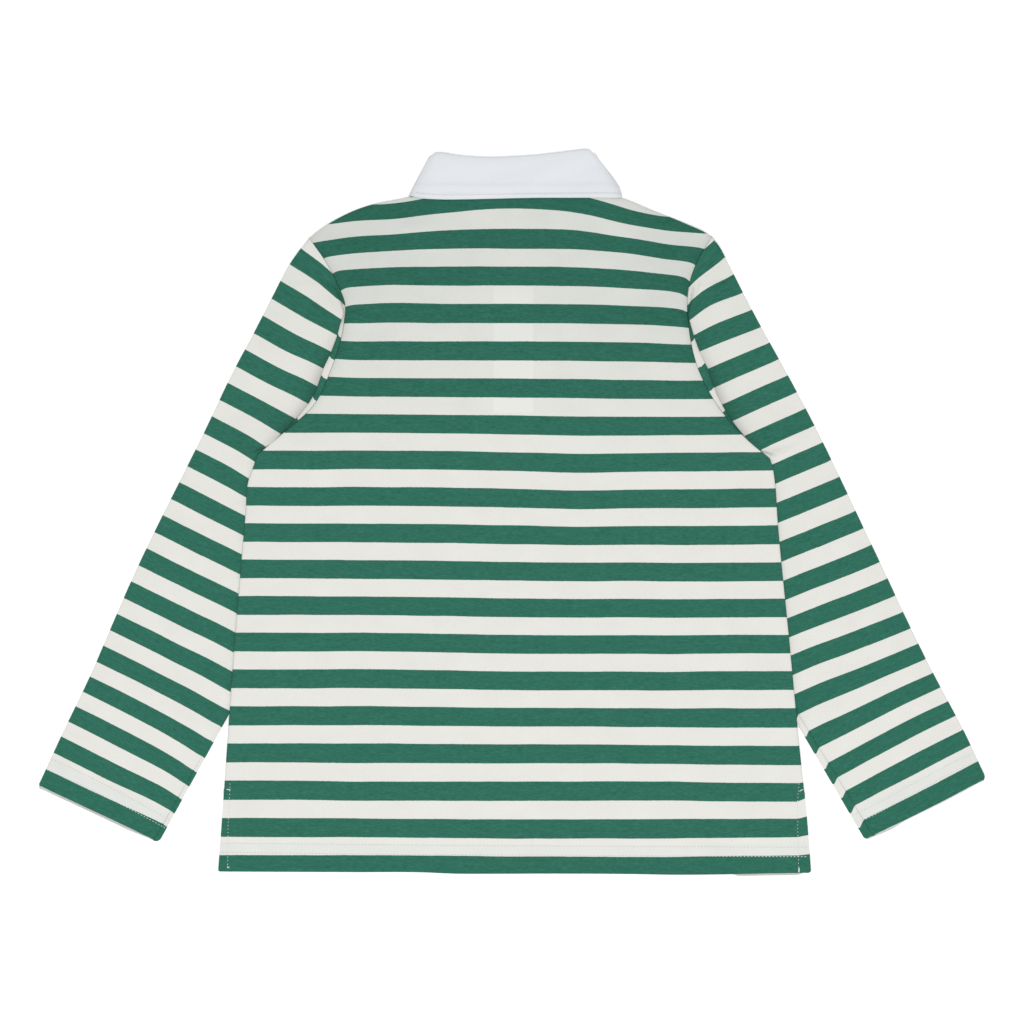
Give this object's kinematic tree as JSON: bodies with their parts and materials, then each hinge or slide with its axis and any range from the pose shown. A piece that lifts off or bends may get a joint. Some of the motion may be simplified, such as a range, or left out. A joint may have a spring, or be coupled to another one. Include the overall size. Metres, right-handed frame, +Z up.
{
  "type": "rugby shirt",
  "caption": "Child's long-sleeved rugby shirt laid flat with its back up: striped jersey, plain woven collar, side vents and a buttoned placket on the side that faces down.",
  "frame": {"origin": "on the table, under the middle of the laid-out shirt's bounding box", "axes": "+X across the shirt to the sleeve on the right as the back is seen, +Y from hem to collar, +Z up out of the back"},
  "size_m": [0.6624, 0.5054, 0.0055],
  "materials": {
    "striped_jersey": "cotton jersey in green and off-white stripes, matt, brushed hand",
    "collar_twill": "cool white cotton twill, pressed flat",
    "placket_twill": "white cotton twill",
    "button_rubber": "off-white moulded rubber, satin"
  },
  "bodies": {
    "root": {"back": "striped_jersey", "front": "striped_jersey", "sleeve_left": "striped_jersey", "sleeve_right": "striped_jersey", "collar": "collar_twill", "placket_upper": "placket_twill", "placket_under": "placket_twill", "button_1": "button_rubber", "button_2": "button_rubber", "button_3": "button_rubber"}
  },
  "joints": []
}
